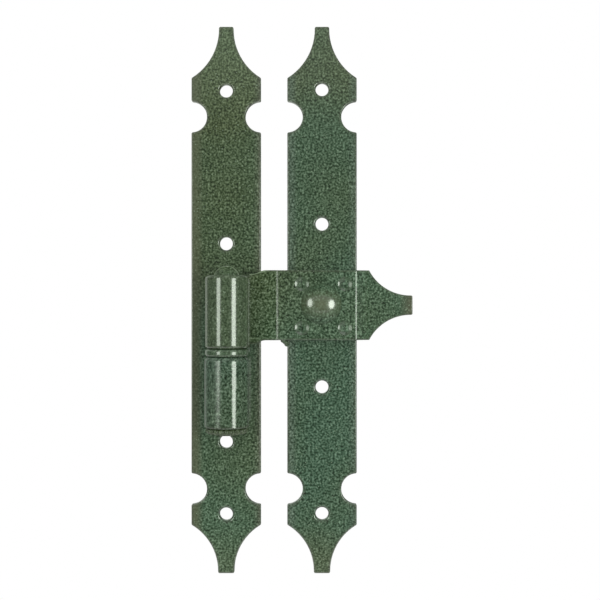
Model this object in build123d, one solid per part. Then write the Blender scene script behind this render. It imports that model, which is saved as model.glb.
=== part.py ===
"""Ornamental lift-off cross hinge in flat steel, open flat.

Millimetres. The origin is the centre of the frame plate's back face. +X runs towards the leaf,
+Z is up, and the hinge faces -Y: everything that lies on the wall or the door has its back at y = 0.
"""
from build123d import *
from math import acos, asin, cos, degrees, radians, sin, sqrt, tan
import os

# Flat steel stock
plate_width = 35.0
plate_thickness = 3.0
plate_length = 275.5
plate_edge_round = 0.7
strap_width = 35.0
strap_thickness = 4.0
strap_edge_round = 0.5

# Spear-cut ends: the cut meets the full width at the shoulder and is narrowest at the neck
top_shoulder = 25.8
bottom_shoulder = 24.4
tip_shoulder = 21.8
top_neck_width = 7.3
bottom_neck_width = 8.2
tip_neck_width = 9.8
neck_setback = 1.0
outline_corner_round = 0.8

# Round notches in both edges of each plate, measured from the plate's end to the notch's centre
notch_radius = 7.8
top_notch_distance = 45.4
bottom_notch_distance = 42.5

# Screw holes, as heights above the origin, with the mouth drawn in where the punch entered
screw_hole_diameter = 6.5
screw_hole_edge_round = 1.2
frame_hole_heights = [105.5, 28.4, -71.5, -108.0]
leaf_hole_heights = [106.2, 38.3, -43.9, -107.8]

# Pin, barrel, washer and eye on one axis
pin_diameter = 13.0
axis_offset = 1.2
barrel_top = -27.6
barrel_length = 34.6
barrel_top_round = 2.2
barrel_foot_round = 0.7
barrel_bore_clearance = 0.05
washer_thickness = 3.8
washer_diameter = 21.4
washer_bore_clearance = 0.3
washer_edge_round = 1.3
eye_length = 36.0
eye_bore_clearance = 0.1
eye_end_round = 1.8
eye_plate_gap = 0.4
eye_seam_gap = 0.35
pin_dome_height = 5.4
pin_dome_recess = 0.7
pin_foot = 3.7
pin_weld_leg = 4.0
pin_weld_flat = 0.4

# Weld beads in the corners between barrel and frame plate
barrel_weld_leg = 3.2
barrel_weld_toe = 1.6
barrel_weld_bulge = -5.0
barrel_weld_end_gap = 3.0

# Leaf side
leaf_centre = 48.3
strap_centre_height = -2.6
root_centre_height = -4.5
eye_relief = 0.2
strap_reach = 93.8
set_start = 13.0
set_end = 20.5
crank_start = 25.4
crank_radius = 0.6
crank_slope = 45.0
step_lead = 1.5
step_slope = 30.0
step_outer_radius = 3.2
step_inner_radius = 0.6
step_clearance = 0.2

# Rivets through strap and leaf plate
centre_rivet_across = 47.8
centre_rivet_height = -1.9
corner_rivets_across = 48.9
corner_rivets_height = -3.0
corner_rivet_side_inset = 6.75
corner_rivet_row_inset = 6.5
head_edge_share = 0.12
corner_rivet_head_diameter = 7.0
corner_rivet_head_height = 0.82
corner_rivet_shank = 5.0
corner_rivet_tail = 7.0
corner_rivet_tail_depth = 1.2
centre_rivet_head_diameter = 20.0
centre_rivet_head_height = 4.0
centre_rivet_shank = 10.0
centre_rivet_tail = 14.0
centre_rivet_tail_depth = 2.0
rivet_hole_clearance = 0.05

# Tack weld under the strap, at the leaf plate's left edge
tack_width = 3.2
tack_height = 3.0
tack_back = 0.8
tack_depth = 4.7
tack_hollow_radius = 4.5

# Worked out from the sizes above
half_plate = plate_width / 2
half_strap = strap_width / 2
plate_front = -plate_thickness
pin_radius = pin_diameter / 2
eye_inner = pin_radius + eye_bore_clearance
eye_outer = eye_inner + strap_thickness
barrel_radius = eye_outer + eye_plate_gap
axis_depth = plate_front - barrel_radius
barrel_bottom = barrel_top - barrel_length
eye_bottom = barrel_top + washer_thickness
eye_top = eye_bottom + eye_length
leaf_left = leaf_centre - half_plate
leaf_right = leaf_centre + half_plate
root_back = axis_depth + eye_outer
rivet_spacing = plate_width - 2 * corner_rivet_side_inset
rivet_row_spacing = strap_width - 2 * corner_rivet_row_inset


def upright(shape):
    """Turns a shape drawn in X and Y so that its Y becomes Z and its thickness grows towards -Y."""
    return Rot(90, 0, 0) * shape


def spear_arc(width, shoulder, neck_width):
    """Radius of the hollow cut between a shoulder at full width and a neck near the end."""
    drop = shoulder - neck_setback
    inset = (width - neck_width) / 2
    return (drop ** 2 + inset ** 2) / (2 * inset)


def spear_flanks(width, end, shoulder, neck_width):
    """Round cutters that hollow both flanks of a spear end lying at y = end and pointing to +Y."""
    radius = spear_arc(width, shoulder, neck_width)
    cutters = [Pos(side * (neck_width / 2 + radius), end - neck_setback) * Rot(0, 0, 90)
               * Circle(radius) for side in (-1, 1)]
    return Sketch() + cutters


def plate_outline(length):
    """Front outline of a plate: spear ends and a round notch in each edge near each end."""
    top = length / 2
    outline = Rectangle(plate_width, length)
    outline -= spear_flanks(plate_width, top, top_shoulder, top_neck_width)
    outline -= Rot(0, 0, 180) * spear_flanks(plate_width, top, bottom_shoulder, bottom_neck_width)
    for side in (-1, 1):
        for height in (top - top_notch_distance, bottom_notch_distance - top):
            outline -= Pos(side * half_plate, height) * Rot(0, 0, 90 - side * 90) * Circle(
                notch_radius)
    return outline


def screw_hole():
    """Cutter for one screw hole, widening at the front where the plate is drawn into the punch."""
    bore = screw_hole_diameter / 2
    mouth = bore + screw_hole_edge_round
    lip = plate_thickness - screw_hole_edge_round
    profile = make_face([
        Line((0, 0), (bore, 0)), Line((bore, 0), (bore, lip)),
        CenterArc((mouth, lip), screw_hole_edge_round, 180, -90),
        Line((mouth, plate_thickness), (0, plate_thickness)), Line((0, plate_thickness), (0, 0))])
    return Rot(90, 0, 0) * revolve(Rot(90, 0, 0) * profile, Axis.Z)


def punched_plate(length, hole_heights):
    """Plate punched from flat bar: the corners, front edges and hole mouths are drawn in round."""
    plate = upright(extrude(plate_outline(length), plate_thickness))
    plate = fillet(plate.edges().filter_by(Axis.Y), outline_corner_round)
    front = plate.faces().sort_by(Axis.Y)[0]
    plate = fillet(front.outer_wire().edges(), plate_edge_round)
    for height in hole_heights:
        plate -= Pos(0, 0, height) * screw_hole()
    return plate


def frame_plate():
    """Long plate that is screwed to the frame or post and carries the barrel."""
    return punched_plate(plate_length, frame_hole_heights)


def on_axis(shape):
    """Puts a shape turned about the Z axis onto the pin's axis."""
    return Pos(axis_offset, axis_depth, 0) * shape


def pin_barrel():
    """Thick tube welded upright on the frame plate, bored for the pin."""
    tube = Cylinder(barrel_radius, barrel_length, align=(Align.CENTER, Align.CENTER, Align.MAX))
    tube = fillet(tube.edges().sort_by(Axis.Z)[-1], barrel_top_round)
    tube = fillet(tube.edges().sort_by(Axis.Z)[0], barrel_foot_round)
    tube -= Cylinder(pin_radius + barrel_bore_clearance, barrel_length,
                     align=(Align.CENTER, Align.CENTER, Align.MAX))
    return on_axis(Pos(0, 0, barrel_top) * tube)


def hinge_pin():
    """Round pin: its foot stands out under the barrel, and its domed head stands above the eye."""
    foot = barrel_bottom - pin_foot
    shoulder = eye_top - pin_dome_recess
    crown = shoulder + pin_dome_height
    profile = make_face([
        Line((0, foot), (pin_radius, foot)),
        Line((pin_radius, foot), (pin_radius, shoulder)),
        RadiusArc((pin_radius, shoulder), (0, crown), dome_radius(pin_radius, pin_dome_height)),
        Line((0, crown), (0, foot))])
    return on_axis(revolve(Rot(90, 0, 0) * profile, Axis.Z))


def dome_radius(base_radius, height):
    """Radius of the ball that a dome of this base and height is cut from, as an arc to the left."""
    return -(base_radius ** 2 + height ** 2) / (2 * height)


def pin_weld():
    """Ring of weld that fills the corner between the barrel's lower face and the pin's foot."""
    bore = pin_radius
    profile = make_face(Polyline(
        (bore, barrel_bottom), (bore + pin_weld_leg, barrel_bottom),
        (bore + pin_weld_leg, barrel_bottom - pin_weld_flat),
        (bore + pin_weld_flat, barrel_bottom - pin_foot), (bore, barrel_bottom - pin_foot),
        close=True))
    return on_axis(revolve(Rot(90, 0, 0) * profile, Axis.Z))


def barrel_weld(side):
    """Bead in the corner where the round barrel leaves the flat plate, on one side."""
    height = barrel_length - 2 * barrel_weld_end_gap
    upper = barrel_radius - barrel_weld_leg
    reach = sqrt(barrel_radius ** 2 - upper ** 2)
    root = reach - barrel_weld_leg
    section = make_face([
        Line((root, barrel_radius), (reach + barrel_weld_toe, barrel_radius)),
        RadiusArc((reach + barrel_weld_toe, barrel_radius), (reach, upper), barrel_weld_bulge),
        Line((reach, upper), (root, upper)), Line((root, upper), (root, barrel_radius))])
    section -= Circle(barrel_radius)
    bead = extrude(section, height)
    if side < 0:
        bead = mirror(bead, about=Plane.YZ)
    return on_axis(Pos(0, 0, barrel_bottom + barrel_weld_end_gap) * bead)


def thrust_washer():
    """Thick loose ring on the pin that the eye turns on."""
    ring = Cylinder(washer_diameter / 2, washer_thickness,
                    align=(Align.CENTER, Align.CENTER, Align.MIN))
    ring = fillet(ring.edges(), washer_edge_round)
    ring -= Cylinder(pin_radius + washer_bore_clearance, washer_thickness,
                     align=(Align.CENTER, Align.CENTER, Align.MIN))
    return on_axis(Pos(0, 0, barrel_top) * ring)


def step_faces(start, level, drop, slope, first_radius, second_radius):
    """One face of a bar that steps by a drop towards the wall, and the point that it reaches."""
    radii = first_radius + second_radius
    turn = min(radians(slope), acos(max(-1, 1 - drop / radii)))
    first = CenterArc((start, level + first_radius), first_radius, -90, degrees(turn))
    fall = drop - radii * (1 - cos(turn))
    reach = start + radii * sin(turn) + fall / tan(turn)
    second = CenterArc((reach, level + drop - second_radius), second_radius,
                       90 + degrees(turn), -degrees(turn))
    if fall < 0.001:
        return [first, second], (reach, level + drop)
    return [first, Line(first @ 1, second @ 0), second], (reach, level + drop)


def strap_face(eye_radius, level, step_start, first_radius, second_radius):
    """One face of the strap, from the eye's back to the tip, at its level in front of the wall."""
    crank, crank_end = step_faces(crank_start, level, plate_front - root_back, crank_slope,
                                  crank_radius, crank_radius)
    step, step_end = step_faces(step_start, crank_end[1], plate_thickness, step_slope,
                                first_radius, second_radius)
    root = (axis_offset, axis_depth + eye_radius)
    return [Line(root, (crank_start, level)), *crank,
            Line(crank_end, (step_start, crank_end[1])), *step,
            Line(step_end, (strap_reach, step_end[1]))]


def strap_section():
    """The strap seen from above: rolled eye, crank between the plates, step beside the leaf plate."""
    back = strap_face(eye_outer, root_back, leaf_right - plate_edge_round + step_clearance,
                      step_inner_radius, step_outer_radius)
    front = strap_face(eye_inner, root_back - strap_thickness, leaf_right - step_lead,
                       step_outer_radius, step_inner_radius)
    lip = degrees(asin((eye_inner - eye_seam_gap) / eye_outer))
    centre = (axis_offset, axis_depth)
    outer = CenterArc(centre, eye_outer, 90, 270 + lip)
    inner = CenterArc(centre, eye_inner, 90, 270 + lip)
    return make_face([*back, Line(back[-1] @ 1, front[-1] @ 1), *front,
                      outer, inner, Line(outer @ 1, inner @ 1)])


def strap_outline():
    """The strap seen from the front: the eye's length, the sideways set and the spear-cut tip."""
    eye_edge = axis_offset + eye_outer + eye_relief
    set_middle = (set_start + set_end) / 2
    edges = []
    for side in (-1, 1):
        root = root_centre_height + side * half_strap
        run = strap_centre_height + side * half_strap
        edges += [Line((eye_edge, root), (set_start, root)),
                  Bezier((set_start, root), (set_middle, root), (set_middle, run), (set_end, run)),
                  Line((set_end, run), (strap_reach, run))]
    edges += [Line(edges[0] @ 0, edges[3] @ 0), Line(edges[2] @ 1, edges[5] @ 1)]
    outline = make_face(edges)
    flanks = Rot(0, 0, -90) * spear_flanks(strap_width, strap_reach, tip_shoulder, tip_neck_width)
    outline -= Pos(0, strap_centre_height) * flanks
    eye_left = axis_offset - eye_outer - eye_relief
    outline += Pos((eye_left + eye_edge) / 2, (eye_bottom + eye_top) / 2) * Rectangle(
        eye_edge - eye_left, eye_length)
    return outline


def eye_end_edges(bar):
    """The round edges at both ends of the eye."""
    arcs = bar.edges().filter_by(GeomType.CIRCLE)
    return arcs.filter_by(lambda edge: abs(edge.radius - eye_outer) < 0.01)


def strap_front_edges(bar):
    """The long front edges of the strap, from the eye to the tip."""
    edges = ShapeList()
    for face in bar.faces().filter_by(lambda face: face.center().X > eye_outer):
        normal = face.normal_at(face.center())
        if normal.Y < -0.3 and abs(normal.Z) < 0.1:
            edges += [edge for edge in face.edges() if edge.bounding_box().size.X > 0.01
                      or edge.center().X > strap_reach - 0.01]
    return edges


def hinge_strap():
    """One flat bar, rolled into the eye at its left end and cut to a spear at its right end."""
    depth = axis_depth - eye_outer - eye_relief
    bar = Pos(0, 0, eye_bottom - strap_width) * extrude(strap_section(), 3 * strap_width)
    bar &= Pos(0, eye_relief, 0) * upright(extrude(strap_outline(), eye_relief - depth))
    tip = bar.edges().filter_by(Axis.Y).filter_by(lambda e: e.center().X > strap_reach - 0.01)
    bar = fillet(tip, outline_corner_round)
    bar = fillet(eye_end_edges(bar), eye_end_round)
    bar = fillet(strap_front_edges(bar), strap_edge_round)
    for place, shank, tail, tail_depth in rivets():
        bar -= rivet_hole(place, shank, tail, tail_depth)
    return bar


def leaf_plate():
    """Long plate under the strap that is screwed to the door, gate or shutter."""
    plate = Pos(leaf_centre, 0, 0) * punched_plate(plate_length, leaf_hole_heights)
    for place, shank, tail, tail_depth in rivets():
        plate -= rivet_hole(place, shank, tail, tail_depth)
    return plate


def rivets():
    """Place, shank, tail and tail depth of the five rivets, the large middle one first."""
    found = [((centre_rivet_across, centre_rivet_height), centre_rivet_shank,
              centre_rivet_tail, centre_rivet_tail_depth)]
    for row in (1, -1):
        for side in (-1, 1):
            place = (corner_rivets_across + side * rivet_spacing / 2,
                     corner_rivets_height + row * rivet_row_spacing / 2)
            found.append((place, corner_rivet_shank, corner_rivet_tail, corner_rivet_tail_depth))
    return found


def rivet_body(place, shank, tail, tail_depth, clearance):
    """Shank through strap and plate, with its tail hammered flush into the plate's back."""
    length = plate_thickness + strap_thickness
    profile = make_face(Polyline(
        (0, 0), (tail / 2 + clearance, 0), (shank / 2 + clearance, tail_depth),
        (shank / 2 + clearance, length), (0, length), close=True))
    return Pos(place[0], 0, place[1]) * Rot(90, 0, 0) * revolve(Rot(90, 0, 0) * profile, Axis.Z)


def rivet_hole(place, shank, tail, tail_depth):
    """Hole that one rivet fills, drilled through both bars and countersunk at the back."""
    return rivet_body(place, shank, tail, tail_depth, rivet_hole_clearance)


def rivet(place, shank, tail, tail_depth, head_diameter, head_height):
    """A rivet with a low domed head on the strap's face."""
    edge = head_height * head_edge_share
    seat = plate_thickness + strap_thickness
    base = head_diameter / 2
    profile = make_face([
        Line((0, seat), (base, seat)), Line((base, seat), (base, seat + edge)),
        RadiusArc((base, seat + edge), (0, seat + head_height),
                  dome_radius(base, head_height - edge)),
        Line((0, seat + head_height), (0, seat))])
    head = Pos(place[0], 0, place[1]) * Rot(90, 0, 0) * revolve(Rot(90, 0, 0) * profile, Axis.Z)
    return rivet_body(place, shank, tail, tail_depth, 0) + head


def tack_weld():
    """Small bead in the corner under the strap, where it meets the leaf plate's left edge."""
    corner = (leaf_left, strap_centre_height - half_strap)
    left = (corner[0] - tack_width, corner[1])
    low = (corner[0], corner[1] - tack_height)
    bead = make_face([Line(corner, left), RadiusArc(left, low, tack_hollow_radius),
                      Line(low, corner)])
    return Pos(0, -tack_back, 0) * upright(extrude(bead, tack_depth))


parts = {
    "frame_plate": frame_plate(),
    "pin_barrel": pin_barrel(),
    "hinge_pin": hinge_pin(),
    "pin_weld": pin_weld(),
    "barrel_weld_left": barrel_weld(-1),
    "barrel_weld_right": barrel_weld(1),
    "thrust_washer": thrust_washer(),
    "hinge_strap": hinge_strap(),
    "leaf_plate": leaf_plate(),
    "centre_rivet": rivet(*rivets()[0], centre_rivet_head_diameter, centre_rivet_head_height),
    "tack_weld": tack_weld(),
}
for number, row in enumerate(rivets()[1:], start=1):
    parts[f"corner_rivet_{number}"] = rivet(*row, corner_rivet_head_diameter,
                                            corner_rivet_head_height)

os.makedirs("parts", exist_ok=True)
for name, shape in parts.items():
    export_step(shape, f"parts/{name}.step")
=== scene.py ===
"""Looks of the lift-off cross hinge: hammered green paint over flat steel, with weld beads."""
import bpy
from math import cos, pi, radians, sin
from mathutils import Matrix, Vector


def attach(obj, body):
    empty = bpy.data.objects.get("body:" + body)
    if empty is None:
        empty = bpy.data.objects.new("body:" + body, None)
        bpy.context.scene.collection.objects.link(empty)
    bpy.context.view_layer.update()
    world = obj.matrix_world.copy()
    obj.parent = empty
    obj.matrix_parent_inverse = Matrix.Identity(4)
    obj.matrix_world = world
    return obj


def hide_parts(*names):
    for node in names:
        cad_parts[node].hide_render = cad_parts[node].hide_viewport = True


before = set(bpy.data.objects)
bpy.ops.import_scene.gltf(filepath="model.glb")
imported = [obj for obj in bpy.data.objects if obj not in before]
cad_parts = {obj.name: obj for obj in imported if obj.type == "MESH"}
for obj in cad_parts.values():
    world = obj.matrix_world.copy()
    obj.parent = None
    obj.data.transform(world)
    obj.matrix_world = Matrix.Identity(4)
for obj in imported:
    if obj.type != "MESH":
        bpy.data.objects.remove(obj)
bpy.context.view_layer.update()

# Camera: square to the plates and a little to the right of the frame plate, so that the whole
# hinge stands upright in a square picture, 302 mm wide at the plates' front face.
camera_place = (0.0372, -0.453, 0.0)
field_width = 0.30216
plates_front = -0.003
sensor_width = 36.0
level_tilt = radians(90)

bpy.ops.object.select_all(action="DESELECT")
bpy.ops.object.camera_add(location=camera_place, rotation=(level_tilt, 0, 0))
camera = bpy.context.object
camera.data.sensor_width = sensor_width
camera.data.lens = sensor_width * (plates_front - camera_place[1]) / field_width
bpy.context.scene.camera = camera
bpy.context.scene.view_settings.view_transform = "Standard"

# Lamps: two oval softboxes, one on each side of the camera, both turned to the knuckle. The right
# one is the stronger and hangs lower, so its line on the knuckle runs right down the barrel. Both
# are faintly green, as the highlights are.
knuckle = Vector((0.0012, -0.014, 0.0))
lamp_distance = 0.8
lamp_length = 0.42
light_colour = (0.92, 1.0, 0.89)


def softbox(name, bearing, height, width, power):
    """An area lamp at a bearing in degrees from straight in front, positive to the right."""
    turn = radians(bearing)
    place = knuckle + lamp_distance * Vector((sin(turn), -cos(turn), 0)) + Vector((0, 0, height))
    bpy.ops.object.light_add(type="AREA", location=place, rotation=(level_tilt, 0, turn))
    lamp = bpy.context.object
    lamp.name = name
    lamp.data.shape = "ELLIPSE"
    lamp.data.size = width
    lamp.data.size_y = lamp_length
    lamp.data.energy = power
    lamp.data.color = light_colour


softbox("softbox_right", bearing=42.0, height=-0.027, width=0.31, power=2.65)
softbox("softbox_left", bearing=-39.5, height=0.045, width=0.28, power=1.7)

# Background: a white sheet behind the hinge that the camera sees, a dim room on the camera's side,
# and for the paint to mirror a paler ceiling and the sheet's left half. Where each begins and is
# full is the share of a direction that points backwards, leftwards or up.
room_level = 0.16
sheet_level = 0.62
sheet_begins, sheet_full = 0.42, 0.58
sheet_left_begins, sheet_left_full = 0.25, 0.05
ceiling_level = 1.0
ceiling_mirrored = 0.5
ceiling_begins, ceiling_full = 0.17, 0.25
white = (1.0, 1.0, 1.0, 1.0)


def put(tree, kind, sockets, **settings):
    """Adds a shader node, sets it, and fills its sockets with values or other nodes' outputs."""
    made = tree.nodes.new("ShaderNode" + kind)
    for name, value in settings.items():
        setattr(made, name, value)
    for socket, value in sockets.items():
        if isinstance(value, bpy.types.NodeSocket):
            tree.links.new(value, made.inputs[socket])
        else:
            made.inputs[socket].default_value = value
    return made


def ramp(tree, value, start, end, low, high):
    """Goes evenly from low to high while the value goes from start to end."""
    return put(tree, "MapRange", {"Value": value, "From Min": start, "From Max": end,
                                  "To Min": low, "To Max": high}, clamp=True).outputs[0]


def reckon(tree, operation, *terms):
    """One step of arithmetic."""
    return put(tree, "Math", dict(enumerate(terms)), operation=operation).outputs[0]


def blend(tree, share, base, other):
    """The base colour with a share of the other mixed in."""
    return put(tree, "Mix", {"Factor": share, "A": base, "B": other}, data_type="RGBA").outputs[2]


world = bpy.data.worlds.new("studio")
world.use_nodes = True
bpy.context.scene.world = world
tree = world.node_tree
tree.nodes.clear()
towards = put(tree, "SeparateXYZ", {0: put(tree, "TexCoord", {}).outputs["Generated"]}).outputs
rays = put(tree, "LightPath", {}).outputs
behind = ramp(tree, towards["Y"], sheet_begins, sheet_full, 0.0, sheet_level)
leftwards = ramp(tree, towards["X"], sheet_left_begins, sheet_left_full, 0.0, 1.0)
sheet = reckon(tree, "MULTIPLY", behind, leftwards)
overhead = ramp(tree, rays["Is Diffuse Ray"], 0.0, 1.0, ceiling_mirrored, ceiling_level)
ceiling = ramp(tree, towards["Z"], ceiling_begins, ceiling_full, 0.0, overhead)
brighter = reckon(tree, "MAXIMUM", sheet, ceiling)
room = reckon(tree, "MAXIMUM", brighter, room_level)
seen = reckon(tree, "MAXIMUM", room, rays["Is Camera Ray"])
hue = blend(tree, rays["Is Camera Ray"], (*light_colour, 1.0), white)
glow = put(tree, "Background", {"Color": hue, "Strength": seen})
put(tree, "OutputWorld", {"Surface": glow.outputs[0]})

# Floor: a plain pale board well below the hinge, outside the picture from the front.
floor_size = 1.7
floor_height = -0.45
board_colour = (0.75, 0.69, 0.77, 1)
board_roughness = 0.7

bpy.ops.mesh.primitive_plane_add(size=floor_size, location=(0, 0, floor_height))
floor = bpy.context.object
floor.name = "floor"
bpy.ops.object.transform_apply(location=True, rotation=True, scale=True)
pale = bpy.data.materials.new("pale_board")
pale.use_nodes = True
board = pale.node_tree.nodes["Principled BSDF"]
board.inputs["Base Color"].default_value = board_colour
board.inputs["Roughness"].default_value = board_roughness
floor.data.materials.append(pale)

# Frame plate: flat steel bar, punched and spear-cut, dipped and stoved with the rest of the hinge
# in a half-gloss green hammered paint. The paint has a fine grain with a few pale flecks, drifts
# from olive to blue green, and turns greyish brown towards the plate's edges.
drift_scale = 14.0
drift_slope = (0.7, 0.0, -0.9)
drift_half_width = 0.16
grain_scale = 970.0
grain_softness = 0.35
blotch_scale = 240.0
blotch_share = 0.1
grain_low, grain_high = 0.3, 0.8
plate_mottle = 0.185
screen_gamma = 2.2
fleck_scale = 1400.0
fleck_begins, fleck_full = 0.70, 0.82
fleck_share = 0.6
edge_reach = 0.0026
edge_begins, edge_full = 0.995, 0.88
edge_share = 0.8
dimple_scale = 430.0
dimple_softness = 0.6
dimple_depth = 0.00002
smoothest, roughest = 0.34, 0.54
paint_specular = 0.25
gloss_index = 1.7


def levels(red, green, blue):
    """A colour given in screen levels from 0 to 255, as a shader socket takes it."""
    return (*(((level / 255 + 0.055) / 1.055) ** 2.4 for level in (red, green, blue)), 1.0)


def hammered_paint(name, olive, teal, tint_place=0.5, mottle=plate_mottle, coat_roughness=0.13,
                   edge_tone=levels(80, 80, 70)):
    """Hammered paint: drifting green, fine grain and flecks, dimples, and greyer edges."""
    material = bpy.data.materials.new(name)
    material.use_nodes = True
    tree = material.node_tree
    tree.nodes.clear()
    place = put(tree, "TexCoord", {}).outputs["Object"]

    # The colour drifts in clouds, and to blue green towards the right and downwards.
    drift = put(tree, "TexNoise", {"Vector": place, "Scale": drift_scale, "Detail": 1.0})
    slope = put(tree, "VectorMath", {0: place, 1: drift_slope}, operation="DOT_PRODUCT")
    sloping = reckon(tree, "ADD", drift.outputs[0], slope.outputs["Value"])
    lean = ramp(tree, sloping, tint_place - drift_half_width, tint_place + drift_half_width,
                0.0, 1.0)
    tint = blend(tree, lean, olive, teal)

    # The grain is laid on in screen tones, as strong on dark paint as on pale.
    fine = put(tree, "TexNoise", {"Vector": place, "Scale": grain_scale, "Detail": 1.0,
                                  "Roughness": grain_softness}).outputs[0]
    coarse = put(tree, "TexNoise", {"Vector": place, "Scale": blotch_scale, "Detail": 1.0})
    both = reckon(tree, "MULTIPLY_ADD", coarse.outputs[0], blotch_share, fine)
    grain = put(tree, "MapRange", {"Value": both, "From Min": grain_low, "From Max": grain_high},
                clamp=False)
    evened = put(tree, "Gamma", {"Color": tint, "Gamma": 1 / screen_gamma}, name="evened")
    mottled = put(tree, "Mix", {"Factor": mottle, "A": evened.outputs[0], "B": grain.outputs[0]},
                  data_type="RGBA", blend_type="LINEAR_LIGHT", name="mottle")
    painted = put(tree, "Gamma", {"Color": mottled.outputs[2], "Gamma": screen_gamma})

    sparks = put(tree, "TexNoise", {"Vector": place, "Scale": fleck_scale, "Detail": 0.0})
    fleck = ramp(tree, sparks.outputs[0], fleck_begins, fleck_full, 0.0, fleck_share)
    flecked = blend(tree, fleck, painted.outputs[0], levels(150, 168, 146))

    # The normal of a rounded copy leans away from the true one near an edge.
    rounded = put(tree, "Bevel", {"Radius": edge_reach}, samples=6)
    flat = put(tree, "NewGeometry", {}).outputs["Normal"]
    facing = put(tree, "VectorMath", {0: rounded.outputs[0], 1: flat}, operation="DOT_PRODUCT")
    edge = ramp(tree, facing.outputs["Value"], edge_begins, edge_full, 0.0, edge_share)
    worn = blend(tree, edge, flecked, edge_tone)

    # The dimples are shallow round cells.
    cells = put(tree, "TexVoronoi", {"Vector": place, "Scale": dimple_scale,
                                     "Smoothness": dimple_softness}, feature="SMOOTH_F1")
    relief = reckon(tree, "ADD", cells.outputs["Distance"], fine)
    bump = put(tree, "Bump", {"Strength": 1.0, "Distance": dimple_depth, "Height": relief})
    rough = ramp(tree, fine, 0.0, 1.0, smoothest, roughest)

    shader = put(tree, "BsdfPrincipled", {
        "Base Color": worn, "Roughness": rough, "Normal": bump.outputs[0],
        "Specular IOR Level": paint_specular, "Coat Weight": 1.0, "Coat IOR": gloss_index,
        "Coat Roughness": coat_roughness})
    put(tree, "OutputMaterial", {"Surface": shader.outputs[0]})
    return material


def paint(node, material):
    """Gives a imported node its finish."""
    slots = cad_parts[node].data.materials
    for index in range(len(slots)):
        slots[index] = material


def own_axes(tree):
    """The piece's own X, Y and Z in metres, for a paint that changes along the piece."""
    return put(tree, "SeparateXYZ", {0: tree.nodes["Texture Coordinate"].outputs["Object"]}).outputs


def lay_over(tree, socket, share, colour):
    """Blends another colour into the one that already feeds a socket."""
    tree.links.new(blend(tree, share, socket.links[0].from_socket, colour), socket)


def retint(material, tones):
    """Blends tones into the paint under its grain, each along an axis, fading from start to end."""
    tree = material.node_tree
    for axis, start, end, strength, colour in tones:
        fade = ramp(tree, own_axes(tree)[axis], start, end, strength, 0.0)
        lay_over(tree, tree.nodes["evened"].inputs["Color"], fade, colour)


olive_green = levels(64, 76, 46)
blue_green = levels(62, 86, 65)
head_tone = ("Z", 0.125, 0.085, 0.5, levels(82, 99, 70))
lower_half_tone = ("Z", -0.095, -0.065, 0.45, levels(64, 87, 66))
foot_tone = ("Z", -0.130, -0.114, 0.35, levels(86, 95, 68))
left_edge_tone = ("X", -0.0150, -0.0115, 0.85, levels(82, 87, 66))
right_edge_tone = ("X", 0.0165, 0.0135, 0.7, levels(80, 87, 71))
left_edge_ends, grain_returns = -0.0150, -0.0115
left_edge_mottle = 0.07

plate_paint = hammered_paint("frame_plate_paint", olive_green, blue_green)
retint(plate_paint, [head_tone, lower_half_tone, foot_tone, left_edge_tone, right_edge_tone])
tree = plate_paint.node_tree
evener = ramp(tree, own_axes(tree)["X"], left_edge_ends, grain_returns, left_edge_mottle,
              plate_mottle)
tree.links.new(evener, tree.nodes["mottle"].inputs["Factor"])
paint("frame_plate", plate_paint)

# Barrel: a short length of thick tube that stands on the frame plate. Its paint lies smoother than
# the plates', and is duller on the left, where it turned thicker as it ran off.
thick_ends, thin_begins = -0.003, 0.001
thick_roughness, thin_roughness = 0.28, 0.13
barrel_specular = 0.5

barrel_paint = hammered_paint("barrel_paint", olive_green, levels(66, 86, 73), tint_place=0.42,
                              mottle=0.16)
tree = barrel_paint.node_tree
dull = ramp(tree, own_axes(tree)["X"], thick_ends, thin_begins, thick_roughness, thin_roughness)
barrel_shader = tree.nodes["Principled BSDF"].inputs
tree.links.new(dull, barrel_shader["Roughness"])
barrel_shader["Specular IOR Level"].default_value = barrel_specular
barrel_shader["IOR"].default_value = gloss_index
barrel_shader["Coat Weight"].default_value = 0.0
paint("pin_barrel", barrel_paint)

# Barrel welds: a hand-laid bead of overlapping ripples on each side, in the corner between the
# barrel and the frame plate, painted over with the rest. Places and sizes are in millimetres.
millimetre = 0.001
axis_across = 1.2
axis_depth = -14.0
barrel_bead_out = 7.4
barrel_bead_depth = -4.3
barrel_bead_low = -57.5
barrel_bead_size = (2.4, 1.9, 1.75)
barrel_bead_tilt = 28
barrel_bead_pitch = 2.08
barrel_bead_sway = 0.14
barrel_bead_sway_turn = 2.1
barrel_bead_ripples = 13
drop_segments, drop_rings = 20, 12
melt_size = 0.0002
soften_rounds = 3
weld_gloss = 0.45


def ripple(place, size, tilt):
    """One frozen ripple of a weld bead: a flattened drop, tilted about the X axis."""
    bpy.ops.object.select_all(action="DESELECT")
    bpy.ops.mesh.primitive_uv_sphere_add(segments=drop_segments, ring_count=drop_rings,
                                         radius=millimetre)
    drop = bpy.context.object
    bpy.ops.object.mode_set(mode="EDIT")
    bpy.ops.mesh.select_all(action="SELECT")
    bpy.ops.transform.resize(value=size)
    bpy.ops.transform.rotate(value=radians(tilt), orient_axis="X", center_override=(0, 0, 0))
    bpy.ops.transform.translate(value=Vector(place) * millimetre)
    bpy.ops.object.mode_set(mode="OBJECT")
    return drop


def next_ripple(shift=None, turn=None):
    """A copy of the last ripple, moved along, or turned round the pin's axis."""
    bpy.ops.object.duplicate()
    bpy.ops.object.mode_set(mode="EDIT")
    bpy.ops.mesh.select_all(action="SELECT")
    if shift:
        bpy.ops.transform.translate(value=shift)
    if turn:
        bpy.ops.transform.rotate(value=turn, orient_axis="Z", center_override=knuckle)
    bpy.ops.object.mode_set(mode="OBJECT")
    return bpy.context.object


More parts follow.
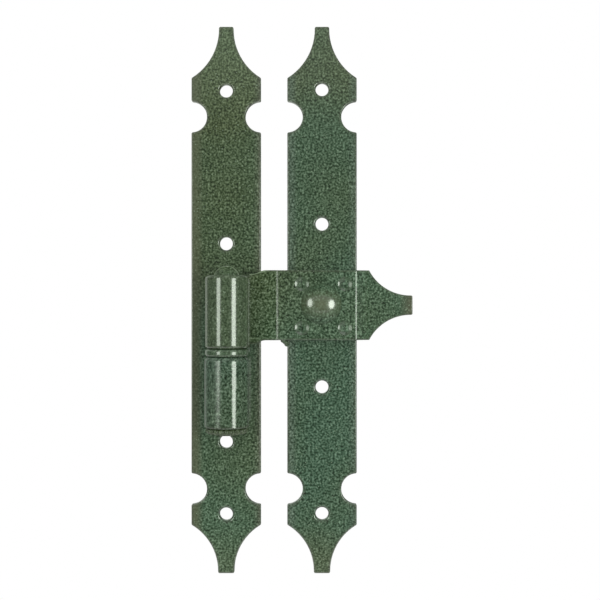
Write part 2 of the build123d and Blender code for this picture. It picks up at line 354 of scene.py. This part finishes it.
def set_modifier(piece, name, kind, **settings):
    """Adds a modifier and applies it."""
    modifier = piece.modifiers.new(name, kind)
    for key, value in settings.items():
        setattr(modifier, key, value)
    bpy.ops.object.modifier_apply(modifier=name)


def run_together(ripples, name):
    """Melts the ripples of a bead into one skin and softens it."""
    bpy.ops.object.select_all(action="DESELECT")
    for drop in ripples:
        drop.select_set(True)
    bpy.context.view_layer.objects.active = ripples[0]
    bpy.ops.object.join()
    bead = bpy.context.object
    bead.name = name
    set_modifier(bead, "melt", "REMESH", mode="VOXEL", voxel_size=melt_size, use_smooth_shade=True)
    set_modifier(bead, "soften", "SMOOTH", factor=0.5, iterations=soften_rounds)
    return bead


def finish_weld(bead, node, body):
    """Paints a bead and puts it in the place of its solid."""
    bead.data.materials.clear()
    bead.data.materials.append(weld_paint)
    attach(bead, body)
    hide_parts(node)


weld_paint = hammered_paint("weld_paint", olive_green, blue_green, tint_place=0.55, mottle=0.16,
                            coat_roughness=0.2, edge_tone=levels(60, 70, 48))
weld_paint.node_tree.nodes["Principled BSDF"].inputs["Coat Weight"].default_value = weld_gloss
for side, node in ((-1, "barrel_weld_left"), (1, "barrel_weld_right")):
    lowest = (axis_across + side * barrel_bead_out, barrel_bead_depth, barrel_bead_low)
    bead = [ripple(lowest, barrel_bead_size, barrel_bead_tilt)]
    for number in range(1, barrel_bead_ripples):
        sway = barrel_bead_sway * sin(barrel_bead_sway_turn * number + side) * millimetre
        bead.append(next_ripple(shift=(sway, -sway, barrel_bead_pitch * millimetre)))
    finish_weld(run_together(bead, node + "_bead"), node, "frame")

# Hinge pin: round bar through the barrel, with a turned dome above the eye. The dome shines less at
# its very front, and a pale band of painted highlight lies along its outline.
front_ends, side_begins = -0.0175, -0.0150
front_gloss, side_gloss = 0.3, 1.0
dome_foot = 0.0115
outline_depth = 0.0147
outline_full, outline_gone = 0.0005, 0.0023
painted_highlight_share = 0.9

pin_paint = hammered_paint("pin_paint", olive_green, blue_green, tint_place=0.6, mottle=0.14)
tree = pin_paint.node_tree
axes = own_axes(tree)
pin_gloss = ramp(tree, axes["Y"], front_ends, side_begins, front_gloss, side_gloss)
tree.links.new(pin_gloss, tree.nodes["Principled BSDF"].inputs["Coat Weight"])
off_outline = reckon(tree, "ABSOLUTE", reckon(tree, "ADD", axes["Y"], outline_depth))
# A pale band painted along the dome's outline: a painted highlight.
painted_highlight_ring = ramp(tree, off_outline, outline_full, outline_gone, painted_highlight_share, 0.0)
on_dome = reckon(tree, "GREATER_THAN", axes["Z"], dome_foot)
lay_over(tree, tree.nodes["evened"].inputs["Color"],
         reckon(tree, "MULTIPLY", painted_highlight_ring, on_dome), levels(150, 164, 140))
paint("hinge_pin", pin_paint)

# Pin weld: a ring of ripples that closes the corner between the barrel's lower face and the pin's
# foot, laid in one turn round the pin.
ring_radius = 8.1
ring_height = -63.7
ring_size = (2.4, 1.75, 1.85)
ring_ripples = 21

ring = [ripple((axis_across + ring_radius, axis_depth, ring_height), ring_size, 0)]
for number in range(1, ring_ripples):
    ring.append(next_ripple(turn=2 * pi / ring_ripples))
finish_weld(run_together(ring, "pin_weld_bead"), "pin_weld", "frame")

# Thrust washer: a thick steel ring, loose on the pin between the barrel and the eye.
paint("thrust_washer", hammered_paint("washer_paint", olive_green, blue_green, mottle=0.14))

# Strap: flat bar rolled into the eye, cranked over the frame plate's edge, and stepped down beside
# the leaf plate to a spear-cut tip. The paint is smoother on the eye and the tip, brown at the tip,
# lifted by painted light beside the eye, with a painted highlight along the top edge there, and
# loses its gloss in three bends, each given by its middle, its half width and the change of gloss.
eye_ends, bar_begins = 0.009, 0.014
tip_begins, tip_full = 0.0850, 0.0900
eye_mottle, bar_mottle, tip_mottle = 0.12, 0.19, 0.08
crank = (0.0187, 0.0062, -0.9)
step = (0.0652, 0.001, -0.4)
crease = (0.0702, 0.0014, -0.95)
# Lighter olive on the bar beside the eye: painted light that lifts the shade there.
root_painted_light = ("X", 0.0125, 0.032, 0.6, levels(78, 90, 60))
eye_tone = ("X", 0.009, 0.014, 0.8, levels(62, 77, 54))
tip_tone = ("X", 0.0938, 0.0870, 0.85, levels(88, 82, 66))
rise_begins, rise_ends = 0.013, 0.0205
root_top, bar_top = 0.0130, 0.0149
line_begins, line_full = -0.0008, -0.0004
edge_highlight_share = 0.9
line_gone, line_whole = 0.0225, 0.0200


def band(tree, value, middle, half_width):
    """One where the value is within a band, and nothing elsewhere."""
    return reckon(tree, "COMPARE", value, middle, half_width)


strap_paint = hammered_paint("strap_paint", levels(61, 72, 43), levels(61, 86, 66),
                             edge_tone=levels(70, 77, 60))
retint(strap_paint, [root_painted_light, eye_tone, tip_tone])
tree = strap_paint.node_tree
strap_shader = tree.nodes["Principled BSDF"].inputs
axes = own_axes(tree)
eye_to_bar = ramp(tree, axes["X"], eye_ends, bar_begins, eye_mottle, bar_mottle)
bar_to_tip = ramp(tree, axes["X"], tip_begins, tip_full, bar_mottle, tip_mottle)
tree.links.new(reckon(tree, "MINIMUM", eye_to_bar, bar_to_tip),
               tree.nodes["mottle"].inputs["Factor"])
strap_gloss = 1.0
for middle, half_width, change in (crank, step, crease):
    strap_gloss = reckon(tree, "MULTIPLY_ADD", band(tree, axes["X"], middle, half_width), change,
                         strap_gloss)
tree.links.new(strap_gloss, strap_shader["Coat Weight"])
top = ramp(tree, axes["X"], rise_begins, rise_ends, root_top, bar_top)
above = reckon(tree, "SUBTRACT", axes["Z"], top)
# A pale line painted along the strap's top edge beside the eye: a painted highlight.
painted_edge_highlight = ramp(tree, above, line_begins, line_full, 0.0, edge_highlight_share)
beside_eye = ramp(tree, axes["X"], line_gone, line_whole, 0.0, 1.0)
lay_over(tree, strap_shader["Base Color"], reckon(tree, "MULTIPLY", painted_edge_highlight, beside_eye),
         levels(124, 138, 114))
paint("hinge_strap", strap_paint)

# Leaf plate: the twin of the frame plate, under the strap. Its paint leans to blue green, is paler
# at both ends, and greyer along both long edges.
leaf_head_tone = ("Z", 0.125, 0.075, 0.5, levels(70, 83, 56))
leaf_foot_tone = ("Z", -0.130, -0.114, 0.5, levels(88, 95, 70))
leaf_left_tone = ("X", 0.0330, 0.0360, 0.7, levels(77, 92, 80))
leaf_right_tone = ("X", 0.0640, 0.0610, 0.6, levels(75, 91, 79))

leaf_paint = hammered_paint("leaf_paint", levels(64, 77, 49), levels(58, 84, 66), tint_place=0.47)
retint(leaf_paint, [leaf_head_tone, leaf_foot_tone, leaf_left_tone, leaf_right_tone])
paint("leaf_plate", leaf_paint)

# Small rivets: four flat heads round the large one, hammered over in the back of the leaf plate.
# The paint is glossier on the left half of each head. The large rivet's paint starts as its copy.
left_halves = (0.0364, 0.0579)
quarter_head = 0.00175
small_least_gloss, small_more_gloss = 0.20, 0.65
small_gloss_index = 2.0

rivet_paint = hammered_paint("rivet_paint", levels(60, 73, 50), levels(60, 85, 65),
                             coat_roughness=0.16, edge_tone=levels(58, 76, 54))
dome_paint = rivet_paint.copy()
tree = rivet_paint.node_tree
rivet_shader = tree.nodes["Principled BSDF"].inputs
across = own_axes(tree)["X"]
on_left = reckon(tree, "ADD", *(band(tree, across, middle, quarter_head) for middle in left_halves))
small_gloss = reckon(tree, "MULTIPLY_ADD", on_left, small_more_gloss, small_least_gloss)
tree.links.new(small_gloss, rivet_shader["Coat Weight"])
rivet_shader["Coat IOR"].default_value = small_gloss_index
for number in range(1, 5):
    paint(f"corner_rivet_{number}", rivet_paint)

# Centre rivet: one large low dome that clamps the strap on the leaf plate. Its paint is paler and
# brownish round the middle of its top, and glossy only there.
dome_offset = (-0.0478, 0.0, 0.0033)
dome_stretch = (1.0, 0.0, 1.7)
brownish_full, brownish_gone = 0.001, 0.0145
brownish_share = 0.62
glossy_ends, dull_begins = 0.0066, 0.0080
top_gloss, rim_gloss = 1.0, 0.1
dome_gloss_index = 1.9

dome_paint.name = "centre_rivet_paint"
tree = dome_paint.node_tree
dome_shader = tree.nodes["Principled BSDF"].inputs
centred = put(tree, "Mapping", {"Vector": tree.nodes["Texture Coordinate"].outputs["Object"],
                                "Location": dome_offset, "Scale": dome_stretch})
away = put(tree, "VectorMath", {0: centred.outputs[0]}, operation="LENGTH").outputs["Value"]
lay_over(tree, dome_shader["Base Color"],
         ramp(tree, away, brownish_full, brownish_gone, brownish_share, 0.0), levels(102, 104, 80))
dome_gloss = ramp(tree, away, glossy_ends, dull_begins, top_gloss, rim_gloss)
tree.links.new(dome_gloss, dome_shader["Coat Weight"])
dome_shader["Coat IOR"].default_value = dome_gloss_index
paint("centre_rivet", dome_paint)

# Tack weld: a short bead of three drops under the strap, in its corner with the leaf plate's edge.
# Each drop has its place and its size.
tack_drops = [((28.9, -4.0, -20.4), (1.5, 1.9, 1.2)), ((29.9, -3.4, -21.1), (1.5, 2.3, 1.3)),
              ((30.5, -2.8, -22.0), (1.3, 1.9, 1.5))]

drops = [ripple(place, size, 0) for place, size in tack_drops]
finish_weld(run_together(drops, "tack_bead"), "tack_weld", "leaf")
